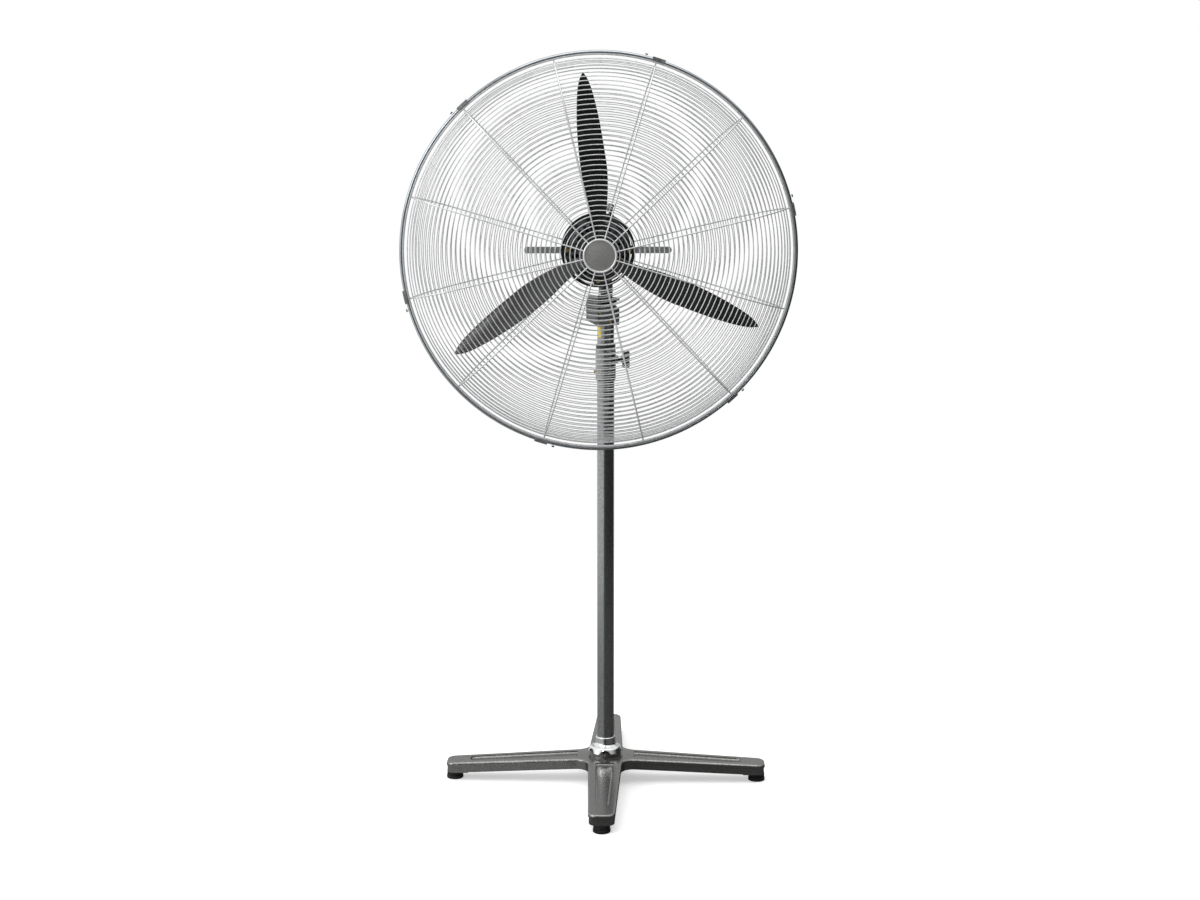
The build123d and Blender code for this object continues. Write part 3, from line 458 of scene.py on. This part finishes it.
def outward(turn):
    """Unit vector away from the local Y axis at an angle."""
    return Vector((math.cos(turn), 0.0, math.sin(turn)))


def sideways(turn):
    """Unit vector round the local Y axis, square to outward."""
    return Vector((-math.sin(turn), 0.0, math.cos(turn)))


def add_piece(name, shape, material, body, matrix=None):
    """Link a shape as a piece that rides on a body and takes its finish from a slot."""
    mesh = bpy.data.meshes.new(name)
    mesh.from_pydata([tuple(v) for v in shape.vertices], [], shape.faces)
    if matrix is not None:
        mesh.transform(matrix)
    mesh.validate()
    for polygon in mesh.polygons:
        polygon.use_smooth = True
    mesh.materials.append(material)
    piece = bpy.data.objects.new(name, mesh)
    bpy.context.scene.collection.objects.link(piece)
    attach(piece, body)
    return piece


class Shape:
    """Vertices and faces gathered from several simple forms."""

    def __init__(self):
        self.vertices = []
        self.faces = []

    def add(self, vertices, faces):
        first = len(self.vertices)
        self.vertices.extend(Vector(v) for v in vertices)
        self.faces.extend(tuple(first + i for i in face) for face in faces)

    def grid(self, rows, closed_u, closed_v):
        """Skin a list of rows of points; u runs along a row and v from row to row."""
        count_v, count_u = len(rows), len(rows[0])
        faces = []
        for v in range(count_v if closed_v else count_v - 1):
            for u in range(count_u if closed_u else count_u - 1):
                here, right = v * count_u + u, v * count_u + (u + 1) % count_u
                up = ((v + 1) % count_v) * count_u
                faces.append((here, right, up + (u + 1) % count_u, up + u))
        self.add([point for row in rows for point in row], faces)

    def ring(self, radius, y, wire, segments, sides):
        """Round wire bent to a circle about the local Y axis."""
        rows = []
        for i in range(segments):
            turn = 2.0 * math.pi * i / segments
            out = outward(turn)
            row = []
            for j in range(sides):
                at = 2.0 * math.pi * j / sides
                rise = Vector((0.0, y + wire * math.sin(at), 0.0))
                row.append(out * (radius + wire * math.cos(at)) + rise)
            rows.append(row)
        self.grid(rows, True, True)

    def wire(self, points, radius, sides, across):
        """Round wire through points in one plane whose normal is across; its ends are flat."""
        rows = []
        last = len(points) - 1
        for i, point in enumerate(points):
            along = (points[min(i + 1, last)] - points[max(i - 1, 0)]).normalized()
            up = along.cross(across).normalized()
            row = []
            for j in range(sides):
                at = 2.0 * math.pi * j / sides
                row.append(point + (across * math.cos(at) + up * math.sin(at)) * radius)
            rows.append(row)
        first = len(self.vertices)
        self.grid(rows, True, False)
        self.faces.append(tuple(range(first + sides - 1, first - 1, -1)))
        end = first + last * sides
        self.faces.append(tuple(range(end, end + sides)))

    def blob(self, centre, radii, along, out):
        """Small rounded lump, such as a spot weld, with its own axes."""
        side = along.cross(out)
        axes = [along * radii[0], out * radii[1], side * radii[2]]
        corners = [axes[0], -axes[0], axes[1], -axes[1], axes[2], -axes[2]]
        diagonals = [
            (axes[0] * a + axes[1] * b + axes[2] * c) / math.sqrt(3.0)
            for a in (1, -1)
            for b in (1, -1)
            for c in (1, -1)
        ]
        points = [centre + p for p in corners + diagonals]
        faces = []
        for index in range(8):
            a = 0 if index < 4 else 1
            b = 2 if index % 4 < 2 else 3
            c = 4 if index % 2 == 0 else 5
            corner = 6 + index
            loop = (a, b, c) if (index in (0, 3, 5, 6)) else (a, c, b)
            for k in range(3):
                faces.append((loop[k], loop[(k + 1) % 3], corner))
        self.add(points, faces)


# ---------------------------------------------------------------- guards

BLADE_Y = -0.169
RIM_Y = -0.199
WIRE = 0.00105
WIRE_SIDES = 8
SPOKE = 0.0014
SPOKE_STEPS = 46
WELD_GAP = 0.00003
WELD_RADII = (0.0021, 0.0007, 0.0019)
WELD_LIFT = 0.0001
RING_PITCH = 0.01025
RING_SEGMENTS = 180
FRONT_FIRST_RING = 0.011
REAR_FIRST_RING = 0.012
LAST_RING_MARGIN = 0.007
SPOKE_COUNT = 12
SPOKE_PHASE = math.radians(13.3)
# Share of the section's length that is the face; the side rings start one pitch after it.
FACE_SHARE = 0.72


class GuardSection:
    """Section of a guard in (radius, y): straight from hub to bend, then one tangent arc to the rim."""

    def __init__(self, start, bend, end):
        self.start, self.bend, end = Vector(start), Vector(bend), Vector(end)
        self.along = (self.bend - self.start).normalized()
        self.run = (self.bend - self.start).length
        chord = end - self.bend
        side = Vector((-self.along.y, self.along.x))
        if side.dot(chord) < 0.0:
            side = -side
        self.radius = chord.length_squared / (2.0 * side.dot(chord))
        self.centre = self.bend + side * self.radius
        self.sweep = 2.0 * math.atan2(side.dot(chord), self.along.dot(chord))
        self.side = side
        self.length = self.run + self.radius * self.sweep

    def at(self, distance):
        """Point and tangent at a distance along the section."""
        if distance <= self.run:
            return self.start + self.along * distance, self.along.copy()
        turn = (distance - self.run) / self.radius
        point = self.centre + (self.along * math.sin(turn) - self.side * math.cos(turn)) * self.radius
        return point, self.along * math.cos(turn) + self.side * math.sin(turn)


RIM_RADIUS = 0.4155
RIM_THICKNESS = 0.006
RIM_HALF_DEPTH = 0.007
GUARD_END = RIM_RADIUS - 0.0116
GUARD_GAP = 0.005
RIM_WIRE = 0.002
RIM_WIRE_SIDES = 10
RIM_WIRE_OFFSET = 0.0045
RIM_WIRE_GAP = 0.00005
FRONT_SECTION = GuardSection((0.030, RIM_Y - 0.081), (0.285, RIM_Y - 0.074), (GUARD_END, RIM_Y - GUARD_GAP))
REAR_SECTION = GuardSection((0.0800, RIM_Y + 0.109), (0.290, RIM_Y + 0.096), (GUARD_END, RIM_Y + GUARD_GAP))


def ring_distances(section, first):
    """Distances along the section at which the face rings and then the side rings sit."""
    turn = FACE_SHARE * section.length
    face_steps = int((turn - first) / RING_PITCH + 0.5)
    face = [first + (turn - first) * i / face_steps for i in range(face_steps + 1)]
    side_first, side_last = turn + RING_PITCH, section.length - LAST_RING_MARGIN
    side_steps = int((side_last - side_first) / RING_PITCH + 0.5)
    side = [side_first + (side_last - side_first) * i / side_steps for i in range(side_steps + 1)]
    return face, side


def guard_pieces(label, section, first, inward, material, matrix):
    """Smooth wires, rings and spot welds of one guard, in place of its CAD wires."""
    face, side = ring_distances(section, first)
    offset = SPOKE + WIRE + WELD_GAP
    welds = Shape()
    for kind, distances in (("face", face), ("side", side)):
        rings = Shape()
        for distance in distances:
            point, along = section.at(distance)
            normal = Vector((-along.y, along.x)) * inward
            centre = point + normal * offset
            rings.ring(centre.x, centre.y, WIRE, RING_SEGMENTS, WIRE_SIDES)
            weld = point + normal * (SPOKE + WELD_LIFT)
            for k in range(SPOKE_COUNT):
                turn = SPOKE_PHASE + 2.0 * math.pi * k / SPOKE_COUNT
                out = outward(turn)
                lift = (out * normal.x + Vector((0.0, normal.y, 0.0))).normalized()
                place = out * weld.x + Vector((0.0, weld.y, 0.0))
                welds.blob(place, WELD_RADII, sideways(turn), lift)
        if kind == "side":
            rim = RIM_Y + (-RIM_WIRE_OFFSET if inward > 0 else RIM_WIRE_OFFSET)
            inside = RIM_RADIUS - RIM_THICKNESS - RIM_WIRE - RIM_WIRE_GAP
            rings.ring(inside, rim, RIM_WIRE, RING_SEGMENTS, RIM_WIRE_SIDES)
        piece = add_piece(f"{label}_{kind}_wires", rings, material, "head", matrix)
        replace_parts(piece, f"{label}_{kind}_rings")
    spokes = Shape()
    for k in range(SPOKE_COUNT):
        turn = SPOKE_PHASE + 2.0 * math.pi * k / SPOKE_COUNT
        out = outward(turn)
        points = []
        for i in range(SPOKE_STEPS + 1):
            point, _ = section.at(section.length * i / SPOKE_STEPS)
            points.append(out * point.x + Vector((0.0, point.y, 0.0)))
        spokes.wire(points, SPOKE, WIRE_SIDES, sideways(turn))
    piece = add_piece(f"{label}_spoke_wires", spokes, material, "head", matrix)
    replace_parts(piece, f"{label}_spokes")
    add_piece(f"{label}_spot_welds", welds, material, "head", matrix)


def rim_hoop(material, matrix):
    """Rolled hoop that the guards meet in: a flat inside and a full round outside."""
    inner, outer, half = RIM_RADIUS - RIM_THICKNESS, RIM_RADIUS, RIM_HALF_DEPTH
    flat_edge, flat_middle, lip, fullness = 0.86, 0.3, 0.0008, 0.8
    section = [(inner, half * share) for share in (flat_edge, flat_middle, -flat_middle, -flat_edge)]
    steps, columns = 18, 360
    for i in range(steps + 1):
        at = math.pi * (i / steps - 0.5)
        round_out = abs(math.cos(at)) ** fullness * (outer - inner - lip)
        section.append((inner + lip + round_out, half * math.sin(at)))
    rows = []
    for k in range(columns):
        turn = 2.0 * math.pi * k / columns
        rows.append([Vector((r * math.cos(turn), RIM_Y + y, r * math.sin(turn))) for r, y in section])
    hoop = Shape()
    hoop.grid(rows, True, True)
    piece = add_piece("rim_hoop", hoop, material, "head", matrix)
    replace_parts(piece, "rim_band")


# ---------------------------------------------------------------- fan blades

BLADE_COUNT = 3
BLADE_PHASE = math.radians(95.3)
BLADE_THICKNESS = 0.0020
BLADE_PITCH_ROOT = math.radians(25.0)
BLADE_PITCH_TIP = math.radians(15.0)
BLADE_FLAT_END = 0.100
BLADE_TWIST_END = 0.385
BLADE_HOLLOW = 0.07
BLADE_HOLLOW_START, BLADE_HOLLOW_GROWS = 0.09, 0.08
BLADE_EDGE_POWER = 10
BLADE_LEAST_HALF = 0.00002
BLADE_SPAN_STEPS = 12
BLADE_STATIONS, BLADE_ACROSS = 84, 18
BLADE_TIP = (0.373, -0.0015)
# Edges of the blade as (radius, offset from its own axis), from root to tip.
BLADE_UPPER = (
    (0.042, 0.006),
    (0.087, 0.010),
    (0.130, 0.017),
    (0.170, 0.021),
    (0.215, 0.0225),
    (0.270, 0.021),
    (0.320, 0.016),
    (0.345, 0.0115),
    (0.362, 0.0055),
)
BLADE_LOWER = (
    (0.042, -0.015),
    (0.087, -0.025),
    (0.130, -0.0315),
    (0.170, -0.034),
    (0.210, -0.032),
    (0.270, -0.027),
    (0.320, -0.020),
    (0.345, -0.0145),
    (0.362, -0.0085),
)


def smooth_line(points, per_span):
    """Catmull-Rom curve through 2-D points."""
    padded = [points[0]] + list(points) + [points[-1]]
    line = []
    for k in range(1, len(padded) - 2):
        p0, p1, p2, p3 = (Vector(p) for p in padded[k - 1 : k + 3])
        for i in range(per_span):
            t = i / per_span
            square = (2 * p0 - 5 * p1 + 4 * p2 - p3) * t**2
            cube = (3 * p1 - p0 - 3 * p2 + p3) * t**3
            line.append(0.5 * (2 * p1 + (p2 - p0) * t + square + cube))
    line.append(Vector(points[-1]))
    return line


def offset_at(line, radius):
    """Sideways offset of an edge line at a radius."""
    for near, far in zip(line, line[1:]):
        if near.x <= radius <= far.x:
            share = (radius - near.x) / max(far.x - near.x, 1e-9)
            return near.y + (far.y - near.y) * share
    return line[-1].y


def blade_slope(radius):
    """How far the blade leans forward per metre of height above its own axis."""
    share = min(max((radius - BLADE_FLAT_END) / (BLADE_TWIST_END - BLADE_FLAT_END), 0.0), 1.0)
    rise = (1 - share) * math.sin(BLADE_PITCH_ROOT) + share * math.sin(BLADE_PITCH_TIP)
    run = (1 - share) * math.cos(BLADE_PITCH_ROOT) + share * math.cos(BLADE_PITCH_TIP)
    return rise / run


def blade_piece(index, material, matrix):
    """Pressed sheet blade with a rounded edge, slight hollow on the front and a full twist."""
    upper = smooth_line(BLADE_UPPER + (BLADE_TIP,), BLADE_SPAN_STEPS)
    lower = smooth_line(BLADE_LOWER + (BLADE_TIP,), BLADE_SPAN_STEPS)
    stations, across = BLADE_STATIONS, BLADE_ACROSS
    root = BLADE_UPPER[0][0]
    rows = []
    for k in range(stations + 1):
        radius = root + (BLADE_TIP[0] - root) * math.sin(0.5 * math.pi * k / stations)
        high, low = offset_at(upper, radius), offset_at(lower, radius)
        middle, half = (high + low) / 2, max((high - low) / 2, BLADE_LEAST_HALF)
        grown = min(max((radius - BLADE_HOLLOW_START) / BLADE_HOLLOW_GROWS, 0.0), 1.0)
        hollow = BLADE_HOLLOW * half * grown
        front, back = [], []
        for j in range(across + 1):
            v = -math.cos(math.pi * j / across)
            z = middle + half * v
            skin = 0.5 * BLADE_THICKNESS * math.sqrt(max(1.0 - v**BLADE_EDGE_POWER, 0.0))
            y = -z * blade_slope(radius) + hollow * (1.0 - v * v)
            front.append(Vector((radius, BLADE_Y + y - skin, z)))
            back.append(Vector((radius, BLADE_Y + y + skin, z)))
        rows.append(front + back[-2:0:-1])
    blade = Shape()
    blade.grid(rows, True, False)
    blade.faces.append(tuple(range(len(rows[0]))))
    turn = Matrix.Rotation(-(BLADE_PHASE + 2.0 * math.pi * index / BLADE_COUNT), 4, "Y")
    return add_piece(f"blade_{index + 1}", blade, material, "fan", matrix @ turn)


def fan_blades(material, matrix):
    """All blades, evenly spaced, in place of the CAD node that holds them."""
    for index in range(BLADE_COUNT):
        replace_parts(blade_piece(index, material, matrix), "fan_blades")


# ---------------------------------------------------------------- base cap

# Outside of the collar and flange as (radius, height), from the pole outwards and down.
CAP_PROFILE = (
    (0.0194, 0.1013),
    (0.0206, 0.1014),
    (0.0218, 0.1006),
    (0.0224, 0.0990),
    (0.0225, 0.0950),
    (0.0225, 0.0900),
    (0.0229, 0.0868),
    (0.0243, 0.0838),
    (0.0275, 0.0814),
    (0.0310, 0.0802),
    (0.0335, 0.0790),
    (0.0352, 0.0772),
)
CAP_SKIRT_RADIUS = 0.0403
CAP_SKIRT_BOTTOM = 0.0665
CAP_WALL = 0.0022
CAP_LOBES = 6
CAP_ARCH_RADIUS = 0.0145
CAP_ARCH_Z = 0.0612
CAP_LEAST_SKIRT = 0.0010
CAP_EDGE = 0.0005
CAP_SCALLOP = 0.0009
CAP_LEAN = 0.0009
CAP_SCALLOP_START, CAP_SCALLOP_GROWS = 0.030, 0.010
CAP_INSIDE_DROP = 0.0002
# Underside of the flange as (radius, height above the skirt's top).
CAP_INSIDE = ((0.0300, 0.0006), (0.0210, 0.0020))
CAP_LINE_STEPS, CAP_COLUMNS = 5, 432
CAP_SKIRT_STEPS, CAP_SKIRT_SHARE = 6, 0.94


def cap_skirt_bottom(turn):
    """Height of the skirt's edge at an angle: down at the lobes, up in a round arch between them."""
    pitch = 2.0 * math.pi / CAP_LOBES
    off = (turn + pitch / 2) % pitch - pitch / 2
    across = CAP_SKIRT_RADIUS * math.sin(off)
    arch = CAP_ARCH_Z + math.sqrt(max(CAP_ARCH_RADIUS**2 - across**2, 0.0))
    return min(max(arch, CAP_SKIRT_BOTTOM), CAP_PROFILE[-1][1] - CAP_LEAST_SKIRT)


def cap_flare(height):
    """Radius of the flared skirt at a height."""
    top_radius, top = CAP_PROFILE[-1]
    return top_radius + (CAP_SKIRT_RADIUS - top_radius) * (top - height) / (top - CAP_SKIRT_BOTTOM)


def base_cap(material):
    """Chromed cap: rounded collar, flange and a flared skirt in lobes with a rolled lower edge."""
    line = [(point.x, point.y) for point in smooth_line(CAP_PROFILE, CAP_LINE_STEPS)]
    top = line[-1][1]
    shell = Shape()
    rows = []
    for i in range(CAP_COLUMNS):
        turn = 2.0 * math.pi * i / CAP_COLUMNS
        arch_turn = turn + math.pi / 2.0
        bottom = cap_skirt_bottom(arch_turn)
        scallop = CAP_SCALLOP * (1.0 - math.cos(CAP_LOBES * arch_turn)) / 2.0
        drop = top - bottom
        skirt = []
        for k in range(1, CAP_SKIRT_STEPS + 1):
            height = top - drop * k / CAP_SKIRT_STEPS * CAP_SKIRT_SHARE
            skirt.append((cap_flare(height), height))
        foot = cap_flare(bottom)
        inner = foot - CAP_WALL
        skirt += [(foot - CAP_EDGE, bottom), (inner + CAP_EDGE, bottom), (inner, bottom + CAP_EDGE)]
        inside = [(cap_flare(top) - CAP_WALL, top - CAP_INSIDE_DROP)]
        inside += [(radius, top + rise) for radius, rise in CAP_INSIDE]
        row = []
        for radius, height in line + skirt + inside:
            share = min(max((radius - CAP_SCALLOP_START) / CAP_SCALLOP_GROWS, 0.0), 1.0)
            out = radius + (scallop - CAP_LEAN) * share
            row.append(Vector((out * math.cos(turn), out * math.sin(turn), height)))
        rows.append(row)
    shell.grid(rows, False, True)
    piece = add_piece("base_cap_chrome", shell, material, "base")
    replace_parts(piece, "base_cap")


# ---------------------------------------------------------------- badge

BADGE_RADIUS = 0.0310
BADGE_FRONT = RIM_Y - 0.086
BADGE_DOME = 0.0024
BADGE_DEPTH = 0.0034
BADGE_ROUND = 0.0006
BADGE_ROUND_DEPTH = 0.0005
BADGE_STEPS, BADGE_COLUMNS = 14, 120


def badge_dome(material, matrix):
    """Slightly domed plain disc in place of the flat-sided CAD badge."""
    face, steps = BADGE_RADIUS - BADGE_ROUND, BADGE_STEPS
    line = [(face * k / steps, BADGE_FRONT + BADGE_DOME * (k / steps) ** 2) for k in range(1, steps + 1)]
    line.append((BADGE_RADIUS, BADGE_FRONT + BADGE_DOME + BADGE_ROUND_DEPTH))
    line.append((BADGE_RADIUS, BADGE_FRONT + BADGE_DEPTH))
    disc = Shape()
    rows = []
    for i in range(BADGE_COLUMNS):
        turn = 2.0 * math.pi * i / BADGE_COLUMNS
        rows.append([Vector((r * math.cos(turn), y, r * math.sin(turn))) for r, y in line])
    disc.grid(rows, False, True)
    disc.faces.append(tuple(len(line) * i for i in range(BADGE_COLUMNS)))
    piece = add_piece("badge_dome", disc, material, "head", matrix)
    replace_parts(piece, "badge_plate")


# ---------------------------------------------------------------- build

# Name, position, target, width, height and watts.
LIGHTS = (
    ("key_left", (-3.4, -1.8, 3.0), (0.0, 0.0, 0.9), 2.0, 2.4, 60.0),
    ("top", (0.0, -0.4, 4.2), (0.0, 0.0, 0.6), 3.0, 3.0, 50.0),
    ("softbox", (-0.95, -3.9, 2.3), (0.0, -0.2, 1.1), 0.7, 0.5, 7.0),
)

bpy.context.scene.view_settings.view_transform = "Standard"
make_camera()
make_floor()
make_world()
for light in LIGHTS:
    area_light(*light)
materials = finish_cad_nodes()
HEAD = head_matrix()
guard_pieces("front", FRONT_SECTION, FRONT_FIRST_RING, 1.0, materials["wire"], HEAD)
guard_pieces("rear", REAR_SECTION, REAR_FIRST_RING, -1.0, materials["wire"], HEAD)
rim_hoop(materials["rim_paint"], HEAD)
fan_blades(materials["black_paint"], HEAD)
base_cap(materials["chrome"])
badge_dome(materials["badge"], HEAD)
